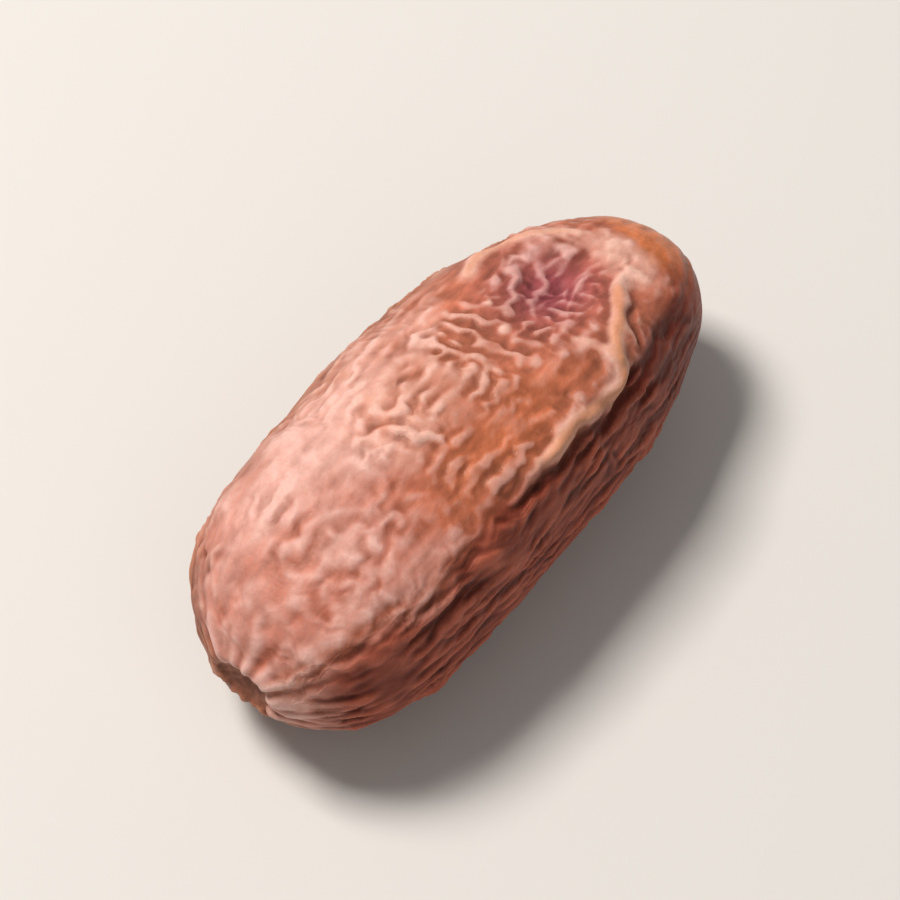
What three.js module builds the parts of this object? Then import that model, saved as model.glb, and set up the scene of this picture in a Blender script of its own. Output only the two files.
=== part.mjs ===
// One semi-dry date: a single closed fruit, lying on a small flat spot of its underside.
//
// Units are millimetres. +X runs from the stem end to the tip, +Z is up, and the origin is
// on the resting surface, under the middle of the fruit.
//
// The skin is a sphere whose points are moved by a form function. Each point of the sphere
// has two angles: "polar" runs from 0 at the stem end to PI at the tip, and "around" turns
// about the long axis, with 0 at +Y, 90 degrees at the top and 180 degrees at -Y.
import * as THREE from "three";
import { mergeVertices } from "three/addons/utils/BufferGeometryUtils.js";

// Overall size of the fruit.
const LENGTH = 41;
const WIDTH = 19;
const HEIGHT = 17.6;
const FLAT_SPOT_DEPTH = 0.5; // how much of the height the resting spot takes away

// Side profile: two superellipse halves that meet at the widest ring.
const WIDEST_AT = 0.43; // share of the length, counted from the stem end
const STEM_BLUNTNESS = 2.8; // 2 is an ellipse, and more is blunter
const TIP_BLUNTNESS = 2.35;
const TIP_DRIFT = 1.45; // the tip leans this far towards -Y

// The crest that parts the broad upper face from the side face, and the flats beside it.
const CREST = { around: 132, spread: 15, height: 0.5 };
const UPPER_FLAT = { around: 92, spread: 24, height: -0.3 };
const SIDE_FLAT = { around: 172, spread: 22, height: -0.35 };
const CREST_WANDER = { degrees: 6, startsAt: 0.12 }; // how the crest swings to and fro along the fruit

// The sunken place where the dried flesh has drawn the skin in, near the tip.
const DIMPLE = { along: 0.75, around: 84, halfLength: 3.9, halfWidth: 3.7, depth: 1.6 };
const DIMPLE_RIM = { at: 1.35, spread: 0.32, height: 0.32 }; // "at" and "spread" in half-sizes

// Long folds of the side face and the underside.
const FOLD = { count: 13, height: 0.16, from: 145, to: 395, fade: 22, turns: 0.35 };

// The scar that the cap of the stem has left: a shallow pit inside a raised ring.
const SCAR = { pitRadius: 1.5, pitDepth: 0.8, ringRadius: 2.5, ringSpread: 0.8, ringHeight: 0.3 };

// The small point in which the tip ends.
const TIP_POINT = { radius: 0.9, height: 0.25 };

const SKIN_COLOUR = 0xa4664c;
const SKIN_ROUGHNESS = 0.48;

// How finely the sphere is divided.
const STEPS_AROUND = 76;
const STEPS_ALONG = 46;
const SAME_POINT = 1e-5; // points of the sphere this close together are one point

const HALF_TURN = 180;

// A bump of height 1 at 0 that dies away over one spread.
const bump = (distance, spread) => Math.exp(-((distance / spread) ** 2));

// The way round from one angle to another, from -180 to 180 degrees.
function turnBetween(from, to) {
  const turn = (to - from) % (2 * HALF_TURN);
  if (turn > HALF_TURN) return turn - 2 * HALF_TURN;
  if (turn < -HALF_TURN) return turn + 2 * HALF_TURN;
  return turn;
}

// Rises from 0 to 1 between two values, with no corner.
const rise = (value, from, to) => THREE.MathUtils.smoothstep(value, from, to);

// The plain fruit's side profile: where a ring lies along the axis, and its share of the girth.
function profile(polar) {
  const towardsTip = polar > Math.PI / 2;
  const power = 2 / (towardsTip ? TIP_BLUNTNESS : STEM_BLUNTNESS);
  const reach = LENGTH * (towardsTip ? 1 - WIDEST_AT : WIDEST_AT);
  const axial = Math.abs(Math.cos(polar)) ** power * reach;
  return {
    along: WIDEST_AT + (towardsTip ? axial : -axial) / LENGTH,
    girth: Math.max(Math.sin(polar), 0) ** power,
  };
}

// The crest and the two flatter faces beside it, in millimetres outwards.
function faces(along, around) {
  const wander = CREST_WANDER.degrees * Math.sin(2 * Math.PI * (along - CREST_WANDER.startsAt));
  return [CREST, UPPER_FLAT, SIDE_FLAT]
    .map((face) => face.height * bump(turnBetween(face.around + wander, around), face.spread))
    .reduce((sum, height) => sum + height, 0);
}

// The sunken place and its rim, in millimetres outwards.
function dimple(along, around, radius) {
  const lengthwise = ((along - DIMPLE.along) * LENGTH) / DIMPLE.halfLength;
  const arc = THREE.MathUtils.degToRad(turnBetween(DIMPLE.around, around)) * radius;
  const reach = Math.hypot(lengthwise, arc / DIMPLE.halfWidth);
  const rim = DIMPLE_RIM.height * bump(reach - DIMPLE_RIM.at, DIMPLE_RIM.spread);
  return rim - DIMPLE.depth * bump(reach, 1);
}

// The long folds, which run from end to end, swing a little, and leave the upper face alone.
function folds(along, around) {
  const turned = around < FOLD.from - FOLD.fade ? around + 2 * HALF_TURN : around;
  const shown =
    rise(turned, FOLD.from - FOLD.fade, FOLD.from + FOLD.fade) *
    (1 - rise(turned, FOLD.to - FOLD.fade, FOLD.to + FOLD.fade));
  const swing = FOLD.turns * Math.sin(2 * Math.PI * along);
  const phase = (FOLD.count * turned) / (2 * HALF_TURN) + swing;
  return FOLD.height * shown * Math.sin(2 * Math.PI * phase);
}

// The stem scar and the tip's point, in millimetres along +X, by the distance from the axis.
function ends(towardsTip, radius) {
  if (towardsTip) return TIP_POINT.height * bump(radius, TIP_POINT.radius);
  const pit = SCAR.pitDepth * bump(radius, SCAR.pitRadius);
  const ring = SCAR.ringHeight * bump(radius - SCAR.ringRadius, SCAR.ringSpread);
  return pit - ring;
}

// The finished place of one point of the sphere.
function formPoint(polar, around) {
  const { along, girth } = profile(polar);
  const angle = THREE.MathUtils.degToRad(around);
  const radius = (WIDTH / 2) * girth;
  const swell = girth * (faces(along, around) + folds(along, around)) + dimple(along, around, radius);
  const lean = TIP_DRIFT * Math.max((along - WIDEST_AT) / (1 - WIDEST_AT), 0) ** 2;
  const shift = ends(polar > Math.PI / 2, radius);
  return new THREE.Vector3(
    LENGTH * (along - 0.5) + shift,
    ((WIDTH / 2) * girth + swell) * Math.cos(angle) - lean,
    ((HEIGHT / 2) * girth + swell) * Math.sin(angle),
  );
}

// Sets the fruit down: its underside is pressed flat, and its box is centred over the origin.
function setDown(points) {
  const lowest = Math.min(...points.map((point) => point.z));
  const floor = lowest + FLAT_SPOT_DEPTH;
  points.forEach((point) => {
    point.z = Math.max(point.z, floor);
  });
  const middle = new THREE.Box3().setFromPoints(points).getCenter(new THREE.Vector3());
  points.forEach((point) => point.sub(new THREE.Vector3(middle.x, middle.y, floor)));
  return points;
}

// The whole skin as one closed surface.
function dateGeometry() {
  const sphere = new THREE.SphereGeometry(1, STEPS_AROUND, STEPS_ALONG);
  sphere.rotateZ(Math.PI / 2); // the first pole turns to -X, the stem end
  sphere.deleteAttribute("normal");
  sphere.deleteAttribute("uv");
  const geometry = mergeVertices(sphere, SAME_POINT);
  const position = geometry.getAttribute("position");
  const points = [];
  for (let i = 0; i < position.count; i++) {
    const direction = new THREE.Vector3().fromBufferAttribute(position, i).normalize();
    const around = THREE.MathUtils.radToDeg(Math.atan2(direction.z, direction.y));
    points.push(formPoint(Math.acos(-direction.x), around));
  }
  setDown(points).forEach((point, i) => position.setXYZ(i, point.x, point.y, point.z));
  geometry.computeVertexNormals();
  return geometry;
}

function makeDate() {
  const skin = new THREE.MeshStandardMaterial({
    color: SKIN_COLOUR,
    roughness: SKIN_ROUGHNESS,
    metalness: 0,
  });
  const date = new THREE.Mesh(dateGeometry(), skin);
  date.name = "date";
  return date;
}

const part = new THREE.Group();
part.add(makeDate());

export default part;
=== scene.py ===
"""One semi-dry date on a pale floor, seen from above its side.

The fruit's skin is one closed mesh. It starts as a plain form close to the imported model's, and is
then folded, wrinkled, given its lips and creases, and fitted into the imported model's box. Its
finish comes from masks worked out on the mesh and from procedural noise.

Places on the fruit have two coordinates. "along" runs from 0 at the stem end to 1 at the tip, and
"around" turns about the long axis in degrees, with 0 at +Y, 90 on top and 180 at -Y. Sizes in this
file are millimetres, and the finished mesh is in metres.
"""

import math

import bpy
import numpy as np
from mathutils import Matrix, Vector


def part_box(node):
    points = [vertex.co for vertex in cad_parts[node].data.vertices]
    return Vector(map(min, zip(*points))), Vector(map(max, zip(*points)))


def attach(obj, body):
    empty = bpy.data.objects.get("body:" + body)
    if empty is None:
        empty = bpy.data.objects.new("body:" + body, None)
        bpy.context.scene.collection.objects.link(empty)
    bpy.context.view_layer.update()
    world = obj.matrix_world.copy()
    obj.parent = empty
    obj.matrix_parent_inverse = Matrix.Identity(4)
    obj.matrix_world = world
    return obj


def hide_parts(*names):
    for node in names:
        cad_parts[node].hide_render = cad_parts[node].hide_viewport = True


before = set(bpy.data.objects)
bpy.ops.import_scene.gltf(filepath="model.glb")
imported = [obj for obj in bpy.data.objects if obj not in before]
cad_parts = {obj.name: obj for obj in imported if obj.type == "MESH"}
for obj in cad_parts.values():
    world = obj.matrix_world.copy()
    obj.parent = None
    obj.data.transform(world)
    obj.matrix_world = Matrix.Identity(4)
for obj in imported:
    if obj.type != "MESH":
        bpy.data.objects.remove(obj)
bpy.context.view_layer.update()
date_low, date_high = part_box("date")

MM = 0.001  # one millimetre in metres
BOX = (np.array(date_high) - np.array(date_low)) / MM

# Driving dimensions of the plain form.
LENGTH, WIDTH, HEIGHT = BOX
WIDEST_AT = 0.43  # share of the length, counted from the stem end
STEM_BLUNTNESS = 2.8  # 2 is an ellipse, and more is blunter
TIP_BLUNTNESS = 2.35
TIP_DRIFT = 1.45  # the tip leans this far towards -Y
FLAT_SPOT_DEPTH = 0.5  # how much of the height the resting spot takes away

# The crest between the upper face and the side face, and the flats beside it: the angle, the spread
# in degrees, and the height.
CREST = (132, 15, 0.5)
UPPER_FLAT = (92, 24, -0.3)
SIDE_FLAT = (172, 22, -0.35)
CREST_WANDER = (6, 0.12)  # the crest swings to and fro by this many degrees, from this place along
CREST_FADE = (0.7, 0.84, 0.97)  # how much of all three fades away, between which places along

# The sunken place near the tip.
DIMPLE_AT = (0.75, 84)
DIMPLE_HALF = (3.9, 3.7)  # lengthwise and round the fruit
DIMPLE_DEPTH = 1.6

# The scar at the stem end and the point at the tip.
SCAR_PIT = (1.5, 0.8)  # radius and depth
SCAR_RING = (2.5, 0.8, 0.3)  # radius, spread and height
TIP_POINT = (0.9, 0.25)  # radius and height

# Distances between mesh points. The wrinkles grow on coarser meshes and are carried over.
SKIN_STEP = 0.155
FOLD_STEP = 0.42
WRINKLE_STEP = 0.18

RAGGED_SIZE = 1.3  # how far apart the kinks in ragged wrinkles are
ROW_SHARE = 0.93  # how far apart the rings of a mesh are, as a share of its step
FEWEST_ON_RING = 6

SEED = 11  # each use of chance adds a number of its own to it
NOISE_WAVES = 28
CRUMPLE_LINE = 0.32  # how wide the ridges of crumpled skin are


# ---- Small helpers ----


def bump(distance, spread):
    """A bump of height 1 at 0 that dies away over one spread."""
    return np.exp(-((distance / spread) ** 2))


def rise(value, start, end):
    """Goes smoothly from 0 at start to 1 at end."""
    share = np.clip((value - start) / (end - start), 0, 1)
    return share * share * (3 - 2 * share)


def turn_between(start, end):
    """The way round from one angle to another, from -180 to 180 degrees."""
    return (end - start + 180) % 360 - 180


def soft_noise(points, size, seed):
    """Smooth noise of variance 1 at the points, from plane waves about size millimetres long."""
    rng = np.random.default_rng(seed)
    heading = rng.normal(size=(NOISE_WAVES, 3))
    heading /= np.linalg.norm(heading, axis=1, keepdims=True)
    pace = 2 * np.pi / (size * rng.uniform(0.7, 1.5, NOISE_WAVES))
    phase = rng.uniform(0, 2 * np.pi, NOISE_WAVES)
    total = np.zeros(len(points))
    for direction, rate, start in zip(heading, pace, phase):
        total += np.cos(points @ (direction * rate) + start)
    return total * math.sqrt(2 / NOISE_WAVES)


def crumple(points, size, seed):
    """A net of thin, uneven ridges from 0 to 1, as on paper that was crumpled and smoothed out."""
    return bump(soft_noise(points, size, seed), CRUMPLE_LINE)


# ---- The plain form ----


def profile(polar):
    """The share of the length and of the girth at each polar angle, 0 at the stem end."""
    tip_side = polar > np.pi / 2
    power = 2 / np.where(tip_side, TIP_BLUNTNESS, STEM_BLUNTNESS)
    reach = np.where(tip_side, 1 - WIDEST_AT, WIDEST_AT)
    axial = np.abs(np.cos(polar)) ** power * reach
    along = WIDEST_AT + np.where(tip_side, axial, -axial)
    return along, np.maximum(np.sin(polar), 0) ** power


def dimple_reach(along, around, radius):
    """Distance from the middle of the sunken place: 1 on the edge of its hollow."""
    lengthwise = (along - DIMPLE_AT[0]) * LENGTH / DIMPLE_HALF[0]
    arc = np.radians(turn_between(DIMPLE_AT[1], around)) * radius
    return np.hypot(lengthwise, arc / DIMPLE_HALF[1])


def plain_points(polar, around):
    """The plain form's points, in millimetres about the middle of the fruit."""
    along, girth = profile(polar)
    wander_degrees, wander_start = CREST_WANDER
    wander = wander_degrees * np.sin(2 * np.pi * (along - wander_start))
    swell = np.zeros_like(along)
    for angle, spread, height in (CREST, UPPER_FLAT, SIDE_FLAT):
        swell += girth * height * bump(turn_between(angle + wander, around), spread)
    fade, fade_start, fade_end = CREST_FADE
    swell *= 1 - fade * rise(along, fade_start, fade_end)
    radius = WIDTH / 2 * girth
    swell -= DIMPLE_DEPTH * bump(dimple_reach(along, around, radius), 1)
    pit_radius, pit_depth = SCAR_PIT
    ring_radius, ring_spread, ring_height = SCAR_RING
    tip_radius, tip_height = TIP_POINT
    pit = pit_depth * bump(radius, pit_radius)
    ring = ring_height * bump(radius - ring_radius, ring_spread)
    shift = np.where(polar > np.pi / 2, tip_height * bump(radius, tip_radius), pit - ring)
    lean = TIP_DRIFT * np.maximum((along - WIDEST_AT) / (1 - WIDEST_AT), 0) ** 2
    angle = np.radians(around)
    x = LENGTH * (along - 0.5) + shift
    y = (WIDTH / 2 * girth + swell) * np.cos(angle) - lean
    z = ((HEIGHT + FLAT_SPOT_DEPTH) / 2 * girth + swell) * np.sin(angle)
    return np.stack([x, y, z], axis=1)


# ---- The mesh of rings ----


class RingMesh:
    """A closed skin of rings round the long axis, whose triangles are all about one size."""

    def __init__(self, step):
        self.run_of_ring, ring_polar, ring_radius = self._ring_places(step)
        counts = np.maximum(FEWEST_ON_RING, np.round(2 * np.pi * ring_radius / step)).astype(int)
        polar, around = [0.0], [0.0]
        for number, (angle, count) in enumerate(zip(ring_polar, counts)):
            polar += [angle] * count
            around += list((np.arange(count) + 0.5 * (number % 2)) * 360 / count)
        self.polar = np.array(polar + [np.pi])
        self.around = np.array(around + [0.0])
        self.first = np.concatenate([[0, 1], 1 + np.cumsum(counts)])
        self.count = np.concatenate([[1], counts, [1]])
        self.along, self.girth = profile(self.polar)
        self.points = plain_points(self.polar, self.around)
        self.faces = self._faces()
        self.neighbours, self.linked = self._neighbours()
        self.normals = self.normals_of(self.points)

    @staticmethod
    def _ring_places(step):
        """Each ring's distance from the stem end over the skin, its polar angle and its radius."""
        polar = np.linspace(0, np.pi, 6001)
        along, girth = profile(polar)
        radius = (WIDTH + HEIGHT) / 4 * girth
        run = np.concatenate([[0], np.cumsum(np.hypot(np.diff(along * LENGTH), np.diff(radius)))])
        places = np.linspace(0, run[-1], int(run[-1] / (step * ROW_SHARE)) + 1)[1:-1]
        return (
            np.concatenate([[0], places, [run[-1]]]),
            np.interp(places, run, polar),
            np.interp(places, run, radius),
        )

    def _faces(self):
        """Zips each ring to the next one, and closes both ends with a fan."""
        faces = []
        for ring in range(len(self.count) - 1):
            here, there = self.count[ring], self.count[ring + 1]
            if here == 1:
                edge = np.arange(there)
                corners = [np.zeros_like(edge), 1 + (edge + 1) % there, 1 + edge]
                faces.append(np.stack(corners, axis=1))
                continue
            start, onward = self.first[ring], self.first[ring + 1]
            if there == 1:
                edge = np.arange(here)
                corners = [start + edge, start + (edge + 1) % here, np.full_like(edge, onward)]
                faces.append(np.stack(corners, axis=1))
                continue
            faces.append(self._zip(start, here, onward, there))
        return np.concatenate(faces)

    def _zip(self, start, here, onward, there):
        """The triangles between two rings, taking both rings' edges in order of their angles."""
        here_middles = self.around[start] + (np.arange(here) + 0.5) * 360 / here
        there_middles = self.around[onward] + (np.arange(there) + 0.5) * 360 / there
        middles = np.concatenate([here_middles, there_middles])
        is_here = (np.arange(here + there) < here)[np.argsort(middles, kind="stable")]
        i = np.cumsum(is_here) - is_here
        j = np.cumsum(~is_here) - ~is_here
        a, a_next = start + i % here, start + (i + 1) % here
        b, b_next = onward + j % there, onward + (j + 1) % there
        on_here = np.stack([a, a_next, b], axis=1)
        on_there = np.stack([a, b_next, b], axis=1)
        return np.where(is_here[:, None], on_here, on_there)

    def _neighbours(self):
        """Each point's neighbours in one padded table, and which of its entries are real."""
        sides = ([0, 1], [1, 2], [2, 0])
        pairs = np.concatenate([self.faces[:, side] for side in sides])
        pairs = pairs[np.argsort(pairs[:, 0], kind="stable")]
        degree = np.bincount(pairs[:, 0], minlength=len(self.polar))
        place = np.arange(len(pairs)) - np.repeat(np.cumsum(degree) - degree, degree)
        table = np.repeat(np.arange(len(self.polar))[:, None], degree.max(), axis=1)
        table[pairs[:, 0], place] = pairs[:, 1]
        return table, np.arange(degree.max())[None, :] < degree[:, None]

    def normals_of(self, points):
        """Outward unit normals at the points."""
        corner = points[self.faces]
        flat = np.cross(corner[:, 1] - corner[:, 0], corner[:, 2] - corner[:, 0])
        total = np.zeros_like(points)
        for axis in range(3):
            for side in range(3):
                total[:, axis] += np.bincount(self.faces[:, side], flat[:, axis], len(points))
        return total / np.linalg.norm(total, axis=1, keepdims=True)

    def smooth(self, field, passes):
        """The field, with each point moved to the mean of itself and its neighbours, in passes."""
        share = self.linked / (1 + self.linked.sum(axis=1, keepdims=True))
        own = 1 - share.sum(axis=1)
        for _ in range(passes):
            field = own * field + (share * field[self.neighbours]).sum(axis=1)
        return field

    def carry_from(self, coarse, field, ragged):
        """A coarser ring mesh's field at this mesh's points, read about ragged millimetres off."""
        shift = [ragged * soft_noise(self.points, RAGGED_SIZE, SEED + seed) for seed in (40, 41)]
        run = np.interp(self.polar, coarse.polar[coarse.first], coarse.run_of_ring) + shift[0]
        run = np.clip(run, 0, coarse.run_of_ring[-1])
        around = self.around + np.degrees(shift[1] / np.maximum(WIDTH / 2 * self.girth, 1))
        lower = np.clip(np.searchsorted(coarse.run_of_ring, run) - 1, 0, len(coarse.count) - 2)
        gap = coarse.run_of_ring[lower + 1] - coarse.run_of_ring[lower]
        share = (run - coarse.run_of_ring[lower]) / gap
        result = np.empty(len(run))
        for ring in np.unique(lower):
            mine = lower == ring
            sides = [
                self._on_ring(coarse, field, number, around[mine]) for number in (ring, ring + 1)
            ]
            result[mine] = sides[0] * (1 - share[mine]) + sides[1] * share[mine]
        return result

    @staticmethod
    def _on_ring(coarse, field, number, around):
        """The field at some angles on one ring of the coarser mesh."""
        members = slice(coarse.first[number], coarse.first[number] + coarse.count[number])
        return np.interp(around, coarse.around[members], field[members], period=360)


# ---- Wrinkles that grow by buckling ----

BUCKLE_START = 0.2  # the size of the noise that the pattern grows out of
BUCKLE_DRIVE = 0.4  # how strongly the pattern grows
BUCKLE_FULL = 97  # the percentile of the pattern's height that becomes 1


def tangents(mesh):
    """Unit vectors in the skin: lengthwise towards the tip, and round the fruit."""
    lengthwise = np.array([1.0, 0, 0]) - mesh.normals * mesh.normals[:, :1]
    lengthwise /= np.maximum(np.linalg.norm(lengthwise, axis=1, keepdims=True), 1e-6)
    return lengthwise, np.cross(mesh.normals, lengthwise)


def buckle(mesh, spacing, angle, hold, rounds, seed, skew, push=0.0):
    """A wrinkle pattern, mostly from -1 to 1, that grows out of noise.

    It grows as skin buckles over shrunken flesh. spacing is the distance between ridges, angle the
    direction they follow in degrees from lengthwise, and hold how strictly they follow it. skew
    makes ridges narrower than valleys, and push raises ridges or valleys at chosen places.
    """
    lengthwise, sideways = tangents(mesh)
    turn = np.radians(angle)[:, None]
    heading = np.cos(turn) * lengthwise + np.sin(turn) * sideways
    offset = mesh.points[mesh.neighbours] - mesh.points[:, None]
    square = np.where(mesh.linked, (offset**2).sum(axis=2), 1)
    weight = mesh.linked / square / mesh.linked.sum(axis=1, keepdims=True)
    weight /= ((2 * np.pi / spacing) ** 2)[:, None]
    follow = (offset * heading[:, None]).sum(axis=2) ** 2 / square
    spread = (4 * weight).astype(np.float32)
    grain = (8 * hold[:, None] * (follow - 0.25) * weight).astype(np.float32)
    pace = 1.7 / ((1.55 * spread.sum(axis=1).max() - 1) ** 2 + 2)
    near = mesh.neighbours
    push = np.float32(push)
    u = np.random.default_rng(seed).normal(0, BUCKLE_START, len(near)).astype(np.float32)
    for _ in range(rounds):
        step = u[near] - u[:, None]
        once = u + np.einsum("ij,ij->i", spread, step)
        twice = once + np.einsum("ij,ij->i", spread, once[near] - once[:, None])
        along_grain = np.einsum("ij,ij->i", grain, step)
        u = u + pace * (BUCKLE_DRIVE * u + skew * u * u - u * u * u - twice + along_grain + push)
    return u / np.percentile(np.abs(u), BUCKLE_FULL)


# ---- Regions of the skin ----

# Where the crest runs: places along, and their angles.
CREST_COURSE = [
    (0, 126), (0.1, 129), (0.17, 132), (0.25, 138), (0.31, 134), (0.36, 129), (0.42, 133),
    (0.5, 137), (0.6, 140), (0.66, 141), (0.72, 138), (0.79, 133), (0.88, 129), (1, 128),
]

# How far the edges of regions waver: along the fruit, round it in degrees, and at the crest.
WAVER_ALONG = 0.010
WAVER_AROUND = 3.0
CREST_WAVER = 2.0

SIDE_ENDS = (68, 90)  # the side face fades away between these degrees past the crest
CAP_LIP_ANGLE = 118  # where the edge of the tip's cap is crispest
SHAKE = 0.14  # how far strokes on the skin are shaken out of their course
GOLD_SHARE = 0.78  # how wide the gold of a lip is, as a share of the lip


def patch(mesh, centre, half, edge=2.0):
    """1 inside an oval region and 0 outside, with a soft, wavering edge. half is its half-size.

    A higher edge value gives a sharper edge.
    """
    along = mesh.along + WAVER_ALONG * mesh.waver[0]
    around = mesh.around + WAVER_AROUND * mesh.waver[1]
    lengthwise = (along - centre[0]) / half[0]
    across = turn_between(centre[1], around) / half[1]
    return np.exp(-((lengthwise**2 + across**2) ** edge))


def band(mesh, start, end, fade):
    """1 between two angles round the fruit, going from start up to end, and 0 elsewhere."""
    around = mesh.around + WAVER_AROUND * mesh.waver[1]
    middle, half = (start + end) / 2, (end - start) / 2
    away = np.abs(turn_between(middle, around)) - half
    return 1 - rise(away, -fade, fade)


def crest_line(mesh):
    """How many degrees each point lies past the crest, towards the side face."""
    along, angle = np.array(CREST_COURSE).T
    crest = np.interp(mesh.along, along, angle)
    return turn_between(crest, mesh.around) + CREST_WAVER * mesh.waver[1]


def face_regions(mesh):
    """The faces of the fruit: side, underside, back and upper face, and the stem half of that."""
    mesh.past_crest = crest_line(mesh)
    mesh.side = rise(mesh.past_crest, -5, 8) * (1 - rise(mesh.past_crest, *SIDE_ENDS))
    mesh.low = rise(-mesh.normals[:, 2], 0.75, 0.97)
    mesh.under = band(mesh, 205, 345, 14)
    mesh.back = band(mesh, 345, 378, 12)
    mesh.upper = np.clip(1 - rise(mesh.past_crest, -5, 6) - mesh.under - mesh.back, 0, 1)
    mesh.stem_half = mesh.upper * (1 - rise(mesh.along, 0.26, 0.42))


def cap_regions(mesh):
    """The smooth cap over the tip, and the part of it on its lit side that is amber as painted
    light.

    The cap's edge is crisp on the side of the crest, and blurred all the way round from it.
    """
    from_lip = turn_between(CAP_LIP_ANGLE, mesh.around)
    crisp = bump(from_lip, 50)
    cap_reach = mesh.along + 0.006 * mesh.waver[0] + 0.02 * bump(from_lip, 25)
    cap_reach += 0.012 * (1 - crisp) * soft_noise(mesh.points, 3.5, SEED + 32)
    front = mesh.radius * np.cos(np.radians(mesh.around - 105)) + 0.5 * mesh.waver[1]
    mesh.tip_cap = rise(cap_reach, 0.885 - 0.03 * (1 - crisp), 0.915 + 0.045 * (1 - crisp))
    mesh.tip_cap *= rise(front, -4.5, -0.5)
    # painted light: the cap is amber only on its side towards the key light, and keeps the darker
    # tip colour elsewhere as painted shade
    lit_side = mesh.radius * np.cos(np.radians(mesh.around - 45)) + 0.5 * mesh.waver[0]
    mesh.amber_cap = mesh.tip_cap * rise(lit_side, -2.0, 2.4)


def add_regions(mesh):
    """Works out where each kind of skin is."""
    mesh.waver = [soft_noise(mesh.points, 6, SEED + 1), soft_noise(mesh.points, 5, SEED + 2)]
    shake = [soft_noise(mesh.points, 2.2, SEED + 20 + axis) for axis in range(3)]
    mesh.shaken = mesh.points + SHAKE * np.stack(shake, axis=1)
    mesh.sway = np.clip(1 + 0.18 * soft_noise(mesh.points, 3, SEED + 33), 0.6, 1.5)
    mesh.radius = WIDTH / 2 * mesh.girth
    mesh.reach = dimple_reach(mesh.along, mesh.around, mesh.radius)
    mesh.dimple = bump(mesh.reach, 1.05)
    face_regions(mesh)
    cap_regions(mesh)
    mesh.amber_patch = patch(mesh, (0.49, 118), (0.20, 15), edge=1.4)
    pale, pale_end = patch(mesh, (0.86, 90), (0.045, 26)), patch(mesh, (0.85, 106), (0.05, 9))
    mesh.pale_patch = np.maximum(pale, pale_end)
    mesh.stem_lumps = patch(mesh, (0.19, 101), (0.16, 24))
    mesh.ladder = patch(mesh, (0.50, 86), (0.17, 25))
    gold = [
        golden * stroke(mesh.points, course, GOLD_SHARE * width)
        for course, width, _, golden in LIPS
    ]
    mesh.lips = np.clip(sum(gold), 0, 1)


# ---- The relief of the skin ----

# Lips of skin, raised: their course over the skin, half-width, height, and how golden they are.
LIPS = [
    # the lip that sweeps under the sunken place
    ([(0.46, 132), (0.50, 134), (0.55, 133.5), (0.60, 134), (0.65, 137), (0.685, 137), (0.71, 130),
      (0.735, 123), (0.77, 119), (0.80, 112), (0.84, 107), (0.88, 109)], 0.68, 0.44, 1.0),
    # the branch that climbs out of it on the stem side
    ([(0.708, 131), (0.702, 123), (0.694, 116), (0.682, 110)], 0.50, 0.20, 0.4),
    # the rim of the sunken place on its far side
    ([(0.67, 57), (0.71, 50), (0.75, 46), (0.81, 49), (0.85, 57), (0.88, 68)], 0.6, 0.24, 0.7),
]

# Broad slopes that lead up to the lips: course, half-width and height.
SLOPES = [
    ([(0.47, 127), (0.53, 129), (0.60, 130), (0.66, 132), (0.69, 128), (0.71, 121)], 1.1, 0.14),
]

# Tiny blisters, raised and painted with pale glints: their place and radius.
BLISTERS = [((0.635, 87), 0.38), ((0.66, 72), 0.30)]

# Creases, pressed in: course, half-width and depth.
CREASES = [
    # the shadowed line under the crest
    ([(0.15, 137), (0.20, 140), (0.25, 143), (0.31, 139), (0.36, 134), (0.42, 138)], 0.5, 0.18),
    # its deeper part under the lip
    ([(0.40, 137), (0.48, 141), (0.55, 141.5), (0.62, 144), (0.67, 145), (0.72, 141), (0.75, 136)],
     0.45, 0.30),
    # the short slit where the lip turns
    ([(0.762, 135), (0.772, 128), (0.785, 122), (0.805, 117)], 0.24, 0.30),
    # the edge of the golden cap, on the side face
    ([(0.80, 136), (0.83, 143), (0.87, 150), (0.92, 158)], 0.5, 0.16),
]

# Wrinkles whose place is fixed. The pattern grows round them: ridges first, then grooves.
FIXED_RIDGES = [
    [(0.588, 84), (0.596, 92), (0.606, 100), (0.612, 106), (0.612, 111)],
    [(0.53, 59), (0.537, 68), (0.545, 76), (0.556, 84), (0.558, 92), (0.553, 97)],
    [(0.60, 62), (0.615, 70), (0.63, 77), (0.64, 86), (0.648, 95)],
    [(0.395, 82), (0.44, 80), (0.49, 79), (0.54, 76)],
    [(0.44, 92), (0.48, 92), (0.52, 91)],
    [(0.46, 102), (0.50, 100), (0.55, 98), (0.58, 97)],
    [(0.34, 105), (0.38, 107), (0.42, 107), (0.46, 106)],
    [(0.385, 86), (0.395, 93), (0.405, 99), (0.402, 106)],
    [(0.30, 78), (0.312, 84), (0.31, 91), (0.32, 97)],
    [(0.16, 117), (0.185, 113), (0.19, 106)],
    [(0.36, 112), (0.40, 113), (0.45, 112)],
    [(0.38, 119), (0.43, 120), (0.49, 119)],
    [(0.41, 126), (0.46, 127), (0.51, 126)],
]
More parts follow.
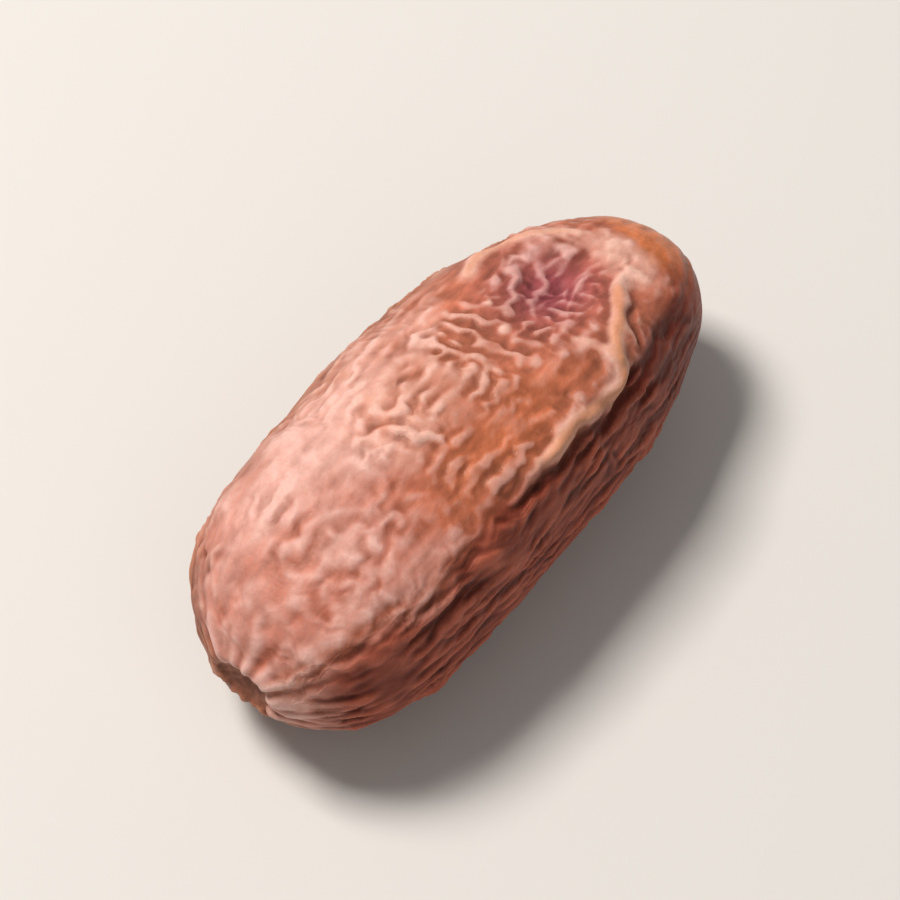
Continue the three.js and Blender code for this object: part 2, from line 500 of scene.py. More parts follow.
FIXED_GROOVES = [
    [(0.66, 88), (0.70, 82), (0.735, 73), (0.77, 64)],
    [(0.70, 92), (0.74, 86), (0.775, 78), (0.81, 70)],
    [(0.745, 98), (0.78, 91), (0.81, 84), (0.85, 74)],
    [(0.385, 66), (0.375, 72), (0.372, 79)],
    [(0.575, 66), (0.578, 76), (0.585, 86)],
    [(0.08, 90), (0.10, 95), (0.118, 102), (0.11, 110), (0.09, 115)],
    [(0.12, 80), (0.145, 77), (0.17, 79), (0.18, 85)],
    [(0.14, 94), (0.165, 91), (0.195, 92)],
    [(0.15, 104), (0.175, 109), (0.21, 108), (0.225, 102)],
    [(0.225, 84), (0.25, 87), (0.262, 94)],
    [(0.20, 117), (0.235, 114), (0.26, 108)],
    [(0.285, 100), (0.30, 105), (0.295, 113)],
    [(0.15, 64), (0.20, 61), (0.26, 63), (0.31, 60)],
    [(0.20, 72), (0.245, 71), (0.29, 74)],
]
FIXED_WIDTH = 0.29
FIXED_PUSH = 0.55  # how hard the pattern is pushed up or down there

CURVE_STEPS = 24  # points on a course between two of its places


def course_points(course):
    """Close points on a smooth curve through the course, in space."""
    knots = np.array([course[0], *course, course[-1]], float)
    share = np.linspace(0, 1, CURVE_STEPS, endpoint=False)[:, None]
    pieces = []
    for a, b, c, d in zip(knots, knots[1:], knots[2:], knots[3:]):
        curve = 2 * b + (c - a) * share + (2 * a - 5 * b + 4 * c - d) * share**2
        pieces.append((curve + (3 * b - a - 3 * c + d) * share**3) / 2)
    along, around = np.concatenate(pieces).T
    polar = np.linspace(0, np.pi, 4001)
    return plain_points(np.interp(along, profile(polar)[0], polar), around)


def stroke(points, course, width, sway=None):
    """1 along a course over the skin, dying away beside it and at its ends.

    sway is how much narrower, under 1, or wider, over 1, it is at each point.
    """
    places = course_points(course)
    middle = places.mean(axis=0)
    size = np.linalg.norm(places - middle, axis=1).max() + 4 * width
    near = np.flatnonzero(np.linalg.norm(points - middle, axis=1) < size)
    gap = np.linalg.norm(points[near, None] - places[None], axis=2)
    share = gap.argmin(axis=1) / (len(places) - 1)
    fade = rise(share, -0.02, 0.16) * (1 - rise(share, 0.84, 1.02))
    result = np.zeros(len(points))
    result[near] = fade * bump(gap.min(axis=1), width if sway is None else width * sway[near])
    return result


def blister_spots(mesh):
    """The tiny blisters, with their radius as their height."""
    spots = np.zeros(len(mesh.points))
    for (along, around), radius in BLISTERS:
        lengthwise = (mesh.along - along) * LENGTH
        sideways = np.radians(turn_between(around, mesh.around)) * mesh.radius
        spots += radius * bump(np.hypot(lengthwise, sideways), radius)
    return spots


# How long each pattern grows.
FOLD_ROUNDS = 900
WRINKLE_ROUNDS = 700
CRINKLE_ROUNDS = 350


def fold_pattern():
    """Long folds that run from end to end."""
    mesh = RingMesh(FOLD_STEP)
    add_regions(mesh)
    spacing = 2.6 + 0.4 * soft_noise(mesh.points, 12, SEED + 3)
    slant = 11 * soft_noise(mesh.points, 14, SEED + 4)
    hold = np.full(len(mesh.points), 1.3)
    return mesh, buckle(mesh, spacing, slant, hold, FOLD_ROUNDS, SEED + 5, skew=0.1)


def grain_map(mesh):
    """The direction that wrinkles follow, in degrees from lengthwise, and how strictly.

    The list of pulls holds directions, each with how strongly it pulls at every point.
    """
    lengthwise = (mesh.along - DIMPLE_AT[0]) * LENGTH
    arc = np.radians(turn_between(DIMPLE_AT[1], mesh.around)) * WIDTH / 2 * mesh.girth
    round_dimple = np.degrees(np.arctan2(arc, lengthwise)) + 90
    near_dimple = rise(mesh.reach, 0.9, 1.2) * (1 - rise(mesh.reach, 1.5, 2.1)) * mesh.upper
    restless = 50 * soft_noise(mesh.points, 6, SEED + 6)
    ends = 1 - rise(mesh.along, 0.0, 0.07) + rise(mesh.along, 0.90, 0.97)
    pulls = [
        (restless, 0.30 * mesh.upper),
        (0.4 * restless, 0.9 * patch(mesh, (0.30, 45), (0.30, 30))),
        (0.3 * restless, 0.5 * patch(mesh, (0.50, 90), (0.09, 20))),
        (90 + 0.4 * restless, 0.5 * patch(mesh, (0.385, 76), (0.05, 14))),
        (round_dimple + 0.5 * restless, 0.6 * near_dimple),
        (-42 + 0.3 * restless, 0.9 * mesh.dimple),
        (0.2 * restless, 0.9 * mesh.amber_patch),
        (0.22 * restless, 1.1 * mesh.side),
        (0.24 * restless, 1.3 * (mesh.under + mesh.back)),
        (np.zeros(len(mesh.along)), 0.5 * ends),
    ]
    east = sum(hold * np.cos(np.radians(2 * angle)) for angle, hold in pulls)
    north = sum(hold * np.sin(np.radians(2 * angle)) for angle, hold in pulls)
    return np.degrees(np.arctan2(north, east)) / 2, np.hypot(east, north)


def wrinkle_patterns():
    """Two patterns on one mesh: wrinkles along the grain, and finer crinkles that cross them."""
    mesh = RingMesh(WRINKLE_STEP)
    add_regions(mesh)
    angle, hold = grain_map(mesh)
    spacing = 1.25 + 0.18 * soft_noise(mesh.points, 5, SEED + 7) - 0.15 * mesh.dimple
    spacing += 0.20 * mesh.stem_lumps - 0.20 * mesh.ladder
    skew = 0.6 - 0.8 * mesh.stem_half
    push = sum(stroke(mesh.shaken, course, FIXED_WIDTH) for course in FIXED_RIDGES)
    push -= sum(stroke(mesh.shaken, course, FIXED_WIDTH) for course in FIXED_GROOVES)
    wrinkles = buckle(mesh, spacing, angle, hold, WRINKLE_ROUNDS, SEED + 8, skew, FIXED_PUSH * push)
    turned = angle + 25 * soft_noise(mesh.points, 3, SEED + 12) + 50 * mesh.upper
    crinkles = buckle(mesh, 0.62 * spacing, turned, 0.6 * hold, CRINKLE_ROUNDS, SEED + 13, skew=0.4)
    return mesh, wrinkles, crinkles


HIGHEST = 1.15
EVENING = 1.4  # how strongly ridges are brought to one height


def ridged(pattern, power):
    """The pattern from 0 to about 1, with its few higher places kept under HIGHEST.

    A power over 1 gives narrow ridges, and one under 1 narrow valleys.
    """
    return np.clip((1 + pattern) / 2, 0, HIGHEST) ** power


def evened(pattern):
    """The pattern with its ridges and valleys brought closer to one height."""
    return np.tanh(EVENING * pattern) / np.tanh(EVENING)


def calm(mesh):
    """What is left of any wrinkling in the smoother places, from 0 to 1."""
    share = (1 - 0.7 * mesh.lips) * (1 - 0.05 * mesh.amber_patch)
    share *= (1 - 0.78 * mesh.tip_cap) * (1 - 0.8 * mesh.low)
    return share * (1 - 0.5 * patch(mesh, (0.87, 165), (0.14, 40)))


def wrinkle_height(mesh):
    """How high the wrinkles stand in each region, in millimetres."""
    patchy = 0.9 + 0.35 * soft_noise(mesh.points, 5, SEED + 9)
    patchy += (0.06 + 0.2 * mesh.upper) * soft_noise(mesh.points, 1.8, SEED + 14)
    height = 0.12 * mesh.upper + 0.24 * mesh.side + 0.30 * (mesh.back + mesh.under)
    height += 0.08 * mesh.ladder - 0.04 * mesh.stem_lumps + 0.15 * mesh.dimple
    height += 0.12 * mesh.upper * band(mesh, 0, 38, 14)
    return height * calm(mesh) * np.clip(patchy, 0.1, 1.8)


def fold_height(mesh):
    """How high the long folds stand in each region, in millimetres."""
    height = 0.26 * mesh.side + 0.36 * mesh.under + 0.34 * mesh.back + 0.05 * mesh.upper
    height += 0.12 * mesh.upper * band(mesh, 0, 38, 14)
    height *= 1 - 0.85 * rise(mesh.along, 0.78, 0.93)
    return height * (0.45 + 0.55 * rise(mesh.along, 0.0, 0.1)) * (1 - 0.6 * mesh.low)


def unevenness(mesh):
    """Lumps of several sizes that break up the regular wrinkles, in millimetres."""
    drawn = mesh.shaken * np.array([0.6, 1, 1])
    height = 0.030 * soft_noise(drawn, 2.4, SEED + 15) + 0.014 * soft_noise(drawn, 1.1, SEED + 16)
    height += 0.05 * soft_noise(mesh.points, 4, SEED + 18)
    height += 0.12 * mesh.dimple * crumple(drawn, 2.6, SEED + 17)
    return height * calm(mesh) + 0.12 * soft_noise(mesh.points, 9, SEED + 10) * (1 - mesh.tip_cap)


# Heights at the two ends, in millimetres.
SCAR_STEP = 0.20  # how far the scar lies below the skin round it
SCAR_PLEATS = 0.08
TIP_PLEATS = 0.038


def scar_distance(mesh):
    """How far each point is from the long axis, with the uneven edge of the stem scar in it."""
    return mesh.radius + 0.12 * soft_noise(mesh.points, 1.6, SEED + 30)


def pleats_round(turn, counts, seed):
    """Pleats that run to an end of the fruit: waves round it, as many as counts gives."""
    rng = np.random.default_rng(seed)
    return sum(np.cos(count * turn + rng.uniform(0, 2 * np.pi)) for count in counts) / 2


def scar_relief(mesh):
    """The stem scar's crisp edge and fibres, and the pleats that run into it, in millimetres."""
    edge = scar_distance(mesh)
    pleats = pleats_round(np.radians(mesh.around), (9, 13, 16, 20), SEED + 31)
    disc = (mesh.along < WIDEST_AT) * (1 - rise(edge, 1.75, 2.15))
    beyond = (mesh.along < WIDEST_AT) * rise(edge, 1.9, 2.5) * (1 - rise(edge, 3.2, 6.5))
    return 0.04 * pleats * disc - SCAR_STEP * disc + SCAR_PLEATS * pleats * beyond


def tip_relief(mesh):
    """Faint pleats that gather towards the tip's point, in millimetres."""
    turn = np.radians(mesh.around) + 0.10 * mesh.waver[0]
    pleats = pleats_round(turn, (7, 12, 19), SEED + 35)
    near_point = rise(mesh.radius, 0.7, 2.0) * (1 - rise(mesh.radius, 3.5, 7.5))
    return TIP_PLEATS * pleats * near_point * (mesh.along > WIDEST_AT)


def relief(mesh):
    """The height of the finished skin over the plain form, in millimetres."""
    folds = mesh.smooth(mesh.carry_from(*fold_pattern(), 0.08), 6)
    wrinkle_mesh, wrinkles, crinkles = wrinkle_patterns()
    ragged = 0.05 + 0.08 * mesh.upper
    wrinkles = evened(mesh.smooth(mesh.carry_from(wrinkle_mesh, wrinkles, ragged), 1))
    wrinkles = ridged(wrinkles, 2.0 - 1.3 * mesh.stem_half + 0.4 * mesh.ladder) - 0.36
    crinkles = ridged(mesh.carry_from(wrinkle_mesh, crinkles, ragged), 1.2) - 0.4
    height = fold_height(mesh) * (ridged(folds, 0.6) - 0.7)
    height += wrinkle_height(mesh) * (wrinkles + (0.40 - 0.15 * mesh.upper) * crinkles)
    height += unevenness(mesh)
    height *= rise(mesh.radius, 1.0, 3.2)
    height += scar_relief(mesh) * (1 - rise(mesh.along, 0.2, 0.3)) + tip_relief(mesh)
    uneven = 1 + 0.28 * soft_noise(mesh.points, 2.6, SEED + 11)
    halfway = (mesh.points + mesh.shaken) / 2
    for course, width, rising, *_ in LIPS + SLOPES:
        height += rising * uneven * stroke(halfway, course, width, mesh.sway)
    height += 0.5 * blister_spots(mesh)
    for course, width, depth in CREASES:
        height -= depth * uneven * stroke(mesh.shaken, course, width, mesh.sway)
    return height


# ---- The skin as a Blender mesh ----


def set_down(points):
    """Presses the underside flat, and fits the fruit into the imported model's box."""
    floor = points[:, 2].min() + FLAT_SPOT_DEPTH
    points[:, 2] = np.maximum(points[:, 2], floor)
    low, high = points.min(axis=0), points.max(axis=0)
    return np.array(date_low) / MM + (points - low) * BOX / (high - low)


# How far the masks follow the relief, which is in millimetres.
SWELL_SHARE = 2.2  # looseness for each millimetre that the skin swells out over a fold
# partly painted highlight: a wrinkle this high gets the full pale crest colour, part loose skin and
# part light on the ridge
FULL_CREST = 0.07  # a wrinkle this high over its surroundings has its crest's full colour
# painted shade: a wrinkle this deep gets the full painted shade of its hollow
FULL_HOLLOW = 0.08  # and one this deep its hollow's
FINE_PASSES = 14  # smoothing that takes the wrinkles away
BROAD_PASSES = 150  # smoothing that takes the folds away too


def looseness_by_place(mesh, swell):
    """How loosely the skin lies over the flesh, by the place and by how far it swells out.

    The list holds what each place adds or takes away. swell is in millimetres.
    """
    past, along, upper = mesh.past_crest, mesh.along, mesh.upper
    side_face = mesh.side * rise(past, 0, 14) * (1 - 0.85 * rise(along, 0.5, 0.8))
    far_face = upper * (1 - rise(past, -45, -5)) * rise(along, 0.02, 0.25)
    far_face *= 1 - rise(along, 0.3, 0.6)
    near_crest = upper * rise(past, -26, -6) * (1 - mesh.stem_half)
    stem_crest = bump(past - 2, 9) * (1 - rise(along, 0.3, 0.5))
    shares = [
        (0.25, upper),
        (0.20, mesh.back + mesh.under),
        (0.34, side_face),
        (0.16, far_face),
        (0.20, stem_crest),
        (0.12, mesh.stem_half),
        (-0.20, near_crest),
        (-0.12, mesh.stem_lumps),
        (-0.18, mesh.ladder * upper),
        (-0.62, mesh.amber_patch * (1 - mesh.lips)),
        # the palest place, behind the top, over a third of the way along: partly the skin's own
        # paleness, partly a painted pool of light where the light falls most
        (0.38, patch(mesh, (0.36, 58), (0.20, 19), edge=1.2)),
        # before the sunken place, and behind it
        (-0.25, patch(mesh, (0.62, 80), (0.05, 26), edge=1.2)),
        (-0.16, patch(mesh, (0.72, 50), (0.12, 16))),
        # both sides of the tip
        (-0.25, patch(mesh, (0.86, 148), (0.12, 30))),
        (-0.22, patch(mesh, (0.92, 58), (0.06, 28))),
    ]
    from_place = sum(amount * where for amount, where in shares)
    return from_place + SWELL_SHARE * (1 - 0.5 * mesh.stem_half) * swell


def masks(mesh, height):
    """The named masks, from 0 to 1, that the finish is made from."""
    softer, softest = mesh.smooth(height, FINE_PASSES), mesh.smooth(height, BROAD_PASSES)
    fine = (height - softer) * (1 - 0.2 * mesh.stem_half)
    swell = softer - softest
    uncapped = 1 - mesh.tip_cap
    at_stem = mesh.along < WIDEST_AT
    scar_edge = scar_distance(mesh)
    side_start = 5 * (1 - rise(mesh.along, 0.15, 0.35)) - 6
    side = rise(mesh.past_crest, side_start, side_start + 15 - 4 * rise(mesh.along, 0.3, 0.6))
    side *= (1 - rise(mesh.past_crest, *SIDE_ENDS)) * rise(mesh.along, 0.0, 0.07)
    threads = (0.4 + 0.4 * soft_noise(mesh.points, 5, SEED + 34)) * (1 - mesh.upper)
    named = {
        "loose": looseness_by_place(mesh, swell) * uncapped,
        # partly painted highlight: wrinkle crests turn paler, as loose skin does and as lit ridges
        # look
        "crest": fine / FULL_CREST,
        # painted shade: how deep each point lies in a wrinkle's hollow, which darkens its colour
        "hollow": -fine / FULL_HOLLOW,
        "threads": threads * uncapped,
        # partly painted shade: the side face is given darker colours
        "side": side,
        "under": mesh.under + mesh.back + 0.8 * band(mesh, 5, 36, 16),
        # the amber patch is the skin's own colour; the amber on the tip's cap is painted light on
        # its lit side
        "amber": mesh.amber_patch + mesh.amber_cap,
        "gold": mesh.lips + 0.25 * mesh.ladder * mesh.upper,
        "mauve": 1.1 * bump(mesh.reach, 1.0) + 0.16 * mesh.stem_half,
        # painted highlight: the blisters get the beige as glints, while the beige patch near the
        # tip is the skin's own
        "pale": mesh.pale_patch + 3 * blister_spots(mesh),
        "tip": mesh.tip_cap,
        "scar": at_stem * (1 - rise(scar_edge, 1.85, 2.25)),
        "pit": at_stem * (1 - rise(scar_edge, 0.35, 1.0)) + ~at_stem * bump(mesh.radius, 0.45),
    }
    return {name: np.clip(values, 0, 1) for name, values in named.items()}


def make_skin():
    """The finished skin, with its masks as point attributes."""
    mesh = RingMesh(SKIN_STEP)
    add_regions(mesh)
    height = relief(mesh)
    points = set_down(mesh.points + mesh.normals * height[:, None])
    data = bpy.data.meshes.new("date_skin")
    data.from_pydata((points * MM).tolist(), [], mesh.faces.tolist())
    data.polygons.foreach_set("use_smooth", np.ones(len(mesh.faces), bool))
    for name, values in masks(mesh, height).items():
        layer = data.attributes.new(name, "FLOAT", "POINT")
        layer.data.foreach_set("value", values.astype(np.float32))
    data.validate()
    skin = bpy.data.objects.new("date_skin", data)
    bpy.context.scene.collection.objects.link(skin)
    return skin


# ---- The finish ----

# Flesh colours show where the skin clings, and skin colours where it stands loose over it.
FLESH = (0.46, 0.147, 0.085)
UNDER_FLESH = (0.26, 0.068, 0.031)
# Partly painted shade: the side face's flesh is darker than its own colour, as it lies in shade.
SHADED_SIDE_FLESH = (0.15, 0.022, 0.012)
AMBER_FLESH = (0.47, 0.138, 0.065)
# Painted light on the tip's cap: amber on its lit side, and a dark red on the rest, partly painted
# shade.
LIT_CAP_FLESH = (0.56, 0.166, 0.060)
SHADED_TIP_FLESH = (0.25, 0.032, 0.012)
MAUVE_FLESH = (0.30, 0.070, 0.080)
PIT_FLESH = (0.06, 0.020, 0.010)
LOOSE_SKIN = (0.725, 0.447, 0.388)
# Partly painted shade: so is the side face's loose skin.
SHADED_SIDE_SKIN = (0.45, 0.118, 0.070)
MAUVE_SKIN = (0.60, 0.31, 0.30)
# Beige of the skin's own pale patch, also used for painted glints on the blisters.
BEIGE_SKIN_AND_GLINTS = (0.715, 0.435, 0.355)
GOLD_SKIN = (0.62, 0.285, 0.165)
BACK_SKIN = (0.45, 0.196, 0.117)
SCAR_SKIN = (0.34, 0.135, 0.088)

# Painted shade in the wrinkles' hollows.
HOLLOW_SHADE = 0.62  # how dark the flesh is in a full hollow
ROUGHNESS = (0.38, 0.54)  # from the smoothest grain to the roughest
AMBER_SMOOTHNESS = 0.12  # how much smoother the amber skin is
THREAD_WIDTH = 0.16  # of the net's threads, as a share of its cells
LENGTHWISE = (3, 1, 1)  # stretches a noise along the fruit

# How high the finest relief is, in millimetres.
FINE_BUMP = 0.035
MOTTLE_BUMP = 0.06

NOISE_RANGE = (0.3, 0.7)  # most of a noise lies between these
NOISE_ROUGHNESS = 0.55  # how strongly the finer detail of a noise shows
NET_BENDS = 0.8  # how often the threads of a net bend, to each of its cells


class Finish:
    """A material's node tree, with short ways to add what this one needs."""

    def __init__(self, name):
        self.material = bpy.data.materials.new(name)
        self.material.use_nodes = True
        self.nodes = self.material.node_tree.nodes
        self.links = self.material.node_tree.links
        self.shader = self.nodes["Principled BSDF"]

    def feed(self, socket, value):
        """Sets a socket to a number, or links it to another socket."""
        if isinstance(value, bpy.types.NodeSocket):
            self.links.new(value, socket)
        elif isinstance(value, tuple) and len(value) == 3 and socket.type == "RGBA":
            socket.default_value = (*value, 1)
        else:
            socket.default_value = value

    def mask(self, name):
        """One of the skin's masks, by its name."""
        node = self.nodes.new("ShaderNodeAttribute")
        node.attribute_name = name
        return node.outputs["Fac"]

    def place(self, size, stretch):
        """The place on the fruit in units of size millimetres, times stretch on each axis."""
        origin = self.nodes.new("ShaderNodeTexCoord")
        scale = self.nodes.new("ShaderNodeVectorMath")
        scale.operation = "MULTIPLY"
        scale.inputs[1].default_value = [1 / (size * MM * share) for share in stretch]
        self.links.new(origin.outputs["Object"], scale.inputs[0])
        return scale.outputs[0]

    def noise(self, size, detail, stretch=(1, 1, 1)):
        """Noise from 0 to 1 whose blotches are about size millimetres."""
        node = self.nodes.new("ShaderNodeTexNoise")
        node.inputs["Scale"].default_value = 1
        node.inputs["Detail"].default_value = detail
        node.inputs["Roughness"].default_value = NOISE_ROUGHNESS
        self.links.new(self.place(size, stretch), node.inputs["Vector"])
        return node.outputs["Fac"]

    def net(self, size, stretch, width):
        """A wavering net of threads, 1 on a thread, round cells of about size millimetres."""
        place = self.place(size, stretch)
        bend = self.nodes.new("ShaderNodeTexNoise")
        bend.inputs["Scale"].default_value = NET_BENDS
        bend.inputs["Detail"].default_value = 3
        self.links.new(place, bend.inputs["Vector"])
        bent = self.nodes.new("ShaderNodeVectorMath")
        bent.operation = "ADD"
        self.links.new(place, bent.inputs[0])
        self.links.new(bend.outputs["Color"], bent.inputs[1])
        cells = self.nodes.new("ShaderNodeTexVoronoi")
        cells.feature = "DISTANCE_TO_EDGE"
        cells.inputs["Scale"].default_value = 1
        self.links.new(bent.outputs[0], cells.inputs["Vector"])
        return self.spread(cells.outputs["Distance"], 0, width, 1, 0, "SMOOTHSTEP")

    def combine(self, operation, a, b):
        """Two values added, subtracted or multiplied, and kept from 0 to 1."""
        node = self.nodes.new("ShaderNodeMath")
        node.operation = operation
        node.use_clamp = True
        self.feed(node.inputs[0], a)
        self.feed(node.inputs[1], b)
        return node.outputs[0]

    def spread(self, value, low, high, to_low, to_high, shape="LINEAR"):
        """Stretches the values from low to high over to_low to to_high."""
        node = self.nodes.new("ShaderNodeMapRange")
        node.interpolation_type = shape
        for socket, number in zip(node.inputs[1:5], (low, high, to_low, to_high)):
            socket.default_value = number
        self.feed(node.inputs[0], value)
        return node.outputs[0]

    def mix(self, share, a, b):
        """Colour a where share is 0, and colour b where it is 1."""
        node = self.nodes.new("ShaderNodeMix")
        node.data_type = "RGBA"
        sockets = (node.inputs[0], node.inputs[6], node.inputs[7])  # the factor and the two colours
        for socket, value in zip(sockets, (share, a, b)):
            self.feed(socket, value)
        return node.outputs[2]

    def scaled(self, colour, factor):
        """The colour made darker or lighter by a factor."""
        node = self.nodes.new("ShaderNodeVectorMath")
        node.operation = "SCALE"
        self.feed(node.inputs[0], colour)
        self.feed(node.inputs[3], factor)
        return node.outputs[0]

    def bump(self, height, distance, below=None):
        """A bump of distance millimetres, on top of the bump below it."""
        node = self.nodes.new("ShaderNodeBump")
        node.inputs["Strength"].default_value = 1
        node.inputs["Distance"].default_value = distance * MM
        self.feed(node.inputs["Height"], height)
        if below is not None:
            self.feed(node.inputs["Normal"], below)
        return node.outputs[0]


def flesh_colour(finish):
    """The colour under clinging skin, darkened by painted shade in the hollows, on the side face
    and on the cap's far side, and amber as painted light on the cap's lit side.
    """
    colour = finish.mix(finish.mask("under"), FLESH, UNDER_FLESH)
    # partly painted shade on the side face
    colour = finish.mix(finish.mask("side"), colour, SHADED_SIDE_FLESH)
    # painted shade and light on the tip's cap: dark over the whole cap, amber on its lit side
    colour = finish.mix(finish.mask("tip"), colour, SHADED_TIP_FLESH)
    amber = finish.mix(finish.mask("tip"), AMBER_FLESH, LIT_CAP_FLESH)
    colour = finish.mix(finish.mask("amber"), colour, amber)
    colour = finish.mix(finish.mask("mauve"), colour, MAUVE_FLESH)
    blotches = finish.spread(finish.noise(2.6, 4), *NOISE_RANGE, 0.80, 1.18)
    streaks = finish.spread(finish.noise(0.7, 3, LENGTHWISE), *NOISE_RANGE, 0.76, 1.2)
    colour = finish.scaled(finish.scaled(colour, blotches), streaks)
    # painted shade: the flesh is darkened in the hollows
    return finish.scaled(colour, finish.spread(finish.mask("hollow"), 0, 1, 1, HOLLOW_SHADE))


def skin_colour(finish):
    """The colour of loose skin, which is dusty and pale, darkened on the side face by painted
    shade, and beige with painted glints on the blisters.
    """
    colour = finish.mix(finish.mask("under"), LOOSE_SKIN, BACK_SKIN)
    # partly painted shade on the side face
    colour = finish.mix(finish.mask("side"), colour, SHADED_SIDE_SKIN)
    colour = finish.mix(finish.mask("mauve"), colour, MAUVE_SKIN)
    colour = finish.mix(finish.mask("gold"), colour, GOLD_SKIN)
    # beige: the pale patch, and painted glints on the blisters
    return finish.mix(finish.mask("pale"), colour, BEIGE_SKIN_AND_GLINTS)


def looseness(finish, mottle, grain, threads):
    """How much of the loose skin's colour shows, from 0 to 1.

    The list holds what each mask adds or takes away where it is full.
    """
    # how much of the crests' partly painted highlight shows, less on amber skin
    crest_share = finish.spread(finish.mask("amber"), 0, 1, 0.58, 0.35)
    changes = [
        ("ADD", finish.mask("gold"), 0.60),
        # paler at the pale patch, and at the blisters as painted glints
        ("ADD", finish.mask("pale"), 0.55),
        # partly painted highlight on the wrinkle crests
        ("ADD", finish.mask("crest"), crest_share),
        # painted shade: less of the pale skin shows in the hollows
        ("SUBTRACT", finish.mask("hollow"), 0.36),
        ("SUBTRACT", finish.mask("mauve"), 0.25),
        ("ADD", threads, 0.12),
    ]
    share = finish.mask("loose")
    for operation, mask, amount in changes:
        share = finish.combine(operation, share, finish.combine("MULTIPLY", mask, amount))
    for noise, low, high in ((mottle, 0.82, 1.14), (grain, 0.88, 1.1)):
        share = finish.combine("MULTIPLY", share, finish.spread(noise, *NOISE_RANGE, low, high))
    return share


def skin_finish():
    """Thin dried skin: dusty and pinkish where loose, amber where it clings, with painted shade in
    the hollows of its folds and on its side face, and painted light on ridges, blisters and the
    tip's lit side.
    """
    finish = Finish("date_skin_finish")
    mottle = finish.noise(1.3, 4)
    grain = finish.noise(0.28, 3)
    net = finish.net(0.9, LENGTHWISE, THREAD_WIDTH)
    threads = finish.combine("MULTIPLY", net, finish.mask("threads"))
    share = looseness(finish, mottle, grain, threads)
    colour = finish.mix(share, flesh_colour(finish), skin_colour(finish))
    fibres = finish.spread(finish.noise(0.5, 4), *NOISE_RANGE, 0.55, 1.25)
    colour = finish.mix(finish.mask("scar"), colour, finish.scaled(SCAR_SKIN, fibres))
    colour = finish.mix(finish.mask("pit"), colour, PIT_FLESH)
    rough = finish.spread(grain, *NOISE_RANGE, *ROUGHNESS)
    smooth = finish.spread(finish.mask("amber"), 0, 1, 0, AMBER_SMOOTHNESS)
    fine = finish.bump(grain, FINE_BUMP)
    creased = finish.bump(threads, FINE_BUMP, fine)
    settings = {
        "Base Color": colour,
        "Roughness": finish.combine("SUBTRACT", rough, smooth),
        "Subsurface Weight": 0.12,
        "Subsurface Radius": (1.0, 0.32, 0.14),
        "Subsurface Scale": 0.4 * MM,
        "Specular IOR Level": 0.17,
        "Specular Tint": (1, 0.85, 0.75),
        "Normal": finish.bump(mottle, MOTTLE_BUMP, creased),
    }
    for name, value in settings.items():
        finish.feed(finish.shader.inputs[name], value)
    return finish.material


# ---- Floor, lights and camera ----

CAMERA_AZIMUTH = -52  # degrees: 0 looks along +Y
CAMERA_ELEVATION = 60
CAMERA_LENS = 150
SENSOR = 36  # the sensor's width, in the lens's millimetres
VIEW_WIDTH = 56  # what the picture takes in at the fruit, in millimetres
FLOOR_COLOUR = (0.64, 0.63, 0.615)
FLOOR_ROUGHNESS = 0.85
FLOOR_SIZE = 8.0  # metres
CLOSEST_SEEN = 0.01  # metres
FARTHEST_SEEN = 50

# The lights: "towards" is right, up and back in the camera's view. Sizes are metres, powers watts.
KEY_LIGHT = {
    "towards": (-0.42, 0.62, 0.67),
    "distance": 0.5,
    "size": 0.15,
    "power": 3.05,
    "colour": (1.0, 0.94, 0.88),
}
FILL_LIGHT = {
    "towards": (0.5, -0.2, 1.0),
    "distance": 0.6,
    "size": 0.4,
    "power": 0.3,
    "colour": (1.0, 0.96, 0.93),
}
WORLD_COLOUR = (1.0, 0.97, 0.94, 1)
WORLD_STRENGTH = 0.25


def camera_axes():
    """Unit vectors of the camera: to its right, up in its picture, and back from the fruit."""
    azimuth, elevation = math.radians(CAMERA_AZIMUTH), math.radians(CAMERA_ELEVATION)
    right = Vector((math.cos(azimuth), math.sin(azimuth), 0))
    back = Vector((math.sin(azimuth) * math.cos(elevation),
                   -math.cos(azimuth) * math.cos(elevation),
                   math.sin(elevation)))
    return right, back.cross(right), back


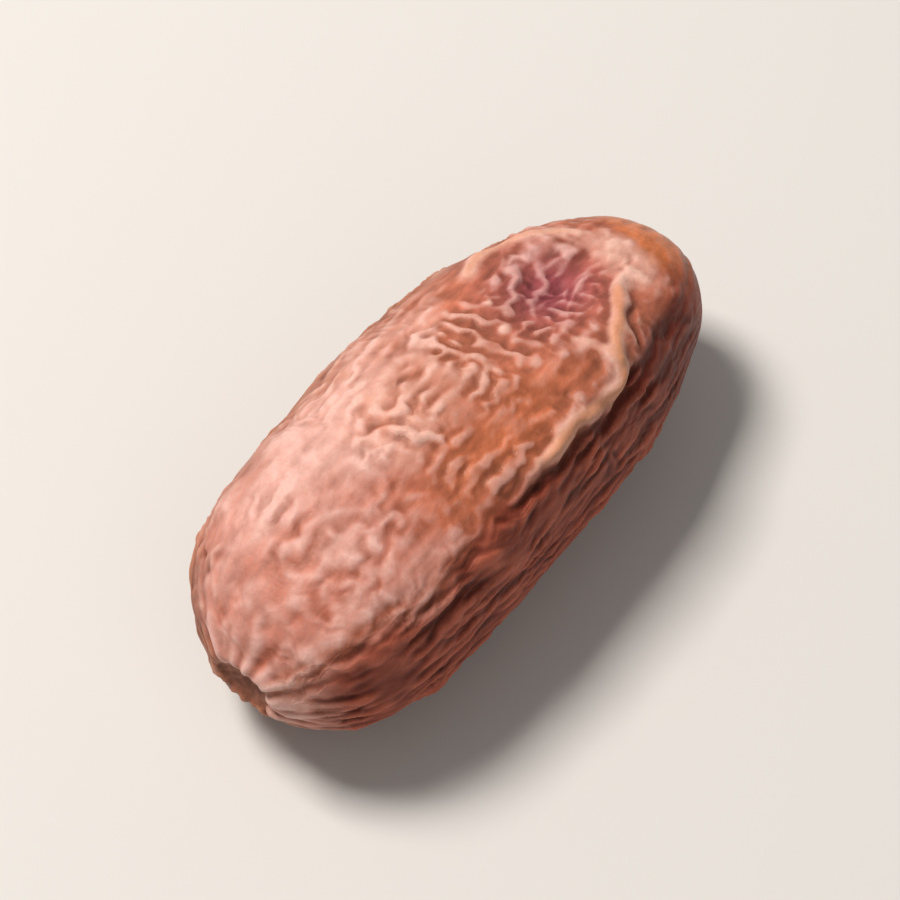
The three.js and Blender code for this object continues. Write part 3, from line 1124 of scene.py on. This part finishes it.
def make_camera(target):
    """The camera, aimed at the middle of the fruit from the side of its crest."""
    _, _, back = camera_axes()
    data = bpy.data.cameras.new("camera")
    data.lens = CAMERA_LENS
    data.sensor_width = SENSOR
    data.clip_start = CLOSEST_SEEN
    data.clip_end = FARTHEST_SEEN
    camera = bpy.data.objects.new("camera", data)
    camera.location = target + back * (CAMERA_LENS / SENSOR * VIEW_WIDTH * MM)
    camera.rotation_euler = back.to_track_quat("Z", "Y").to_euler()
    bpy.context.scene.collection.objects.link(camera)
    bpy.context.scene.camera = camera


def make_light(name, target, towards, distance, size, power, colour):
    """A square soft light that faces the fruit."""
    direction = sum((axis * share for axis, share in zip(camera_axes(), towards)), Vector())
    data = bpy.data.lights.new(name, "AREA")
    data.size = size
    data.energy = power
    data.color = colour
    light = bpy.data.objects.new(name, data)
    light.location = target + direction.normalized() * distance
    light.rotation_euler = direction.to_track_quat("Z", "Y").to_euler()
    bpy.context.scene.collection.objects.link(light)


def make_floor():
    """A pale floor, which is only part of the stage."""
    half = FLOOR_SIZE / 2
    data = bpy.data.meshes.new("floor")
    corners = [(-half, -half, 0), (half, -half, 0), (half, half, 0), (-half, half, 0)]
    data.from_pydata(corners, [], [(0, 1, 2, 3)])
    floor = bpy.data.objects.new("floor", data)
    bpy.context.scene.collection.objects.link(floor)
    finish = Finish("floor_finish")
    finish.feed(finish.shader.inputs["Base Color"], FLOOR_COLOUR)
    finish.shader.inputs["Roughness"].default_value = FLOOR_ROUGHNESS
    floor.data.materials.append(finish.material)


def make_world():
    """Faint light from all round."""
    world = bpy.data.worlds.new("world")
    bpy.context.scene.world = world
    world.use_nodes = True
    background = world.node_tree.nodes["Background"]
    background.inputs["Color"].default_value = WORLD_COLOUR
    background.inputs["Strength"].default_value = WORLD_STRENGTH


def main():
    """Makes the date's skin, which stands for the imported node, and the stage round it."""
    skin = make_skin()
    skin.data.materials.append(skin_finish())
    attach(skin, "root")
    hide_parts("date")
    target = (date_low + date_high) / 2
    make_floor()
    make_world()
    make_light("key", target, **KEY_LIGHT)
    make_light("fill", target, **FILL_LIGHT)
    make_camera(target)
    bpy.context.scene.view_settings.view_transform = "Standard"


main()
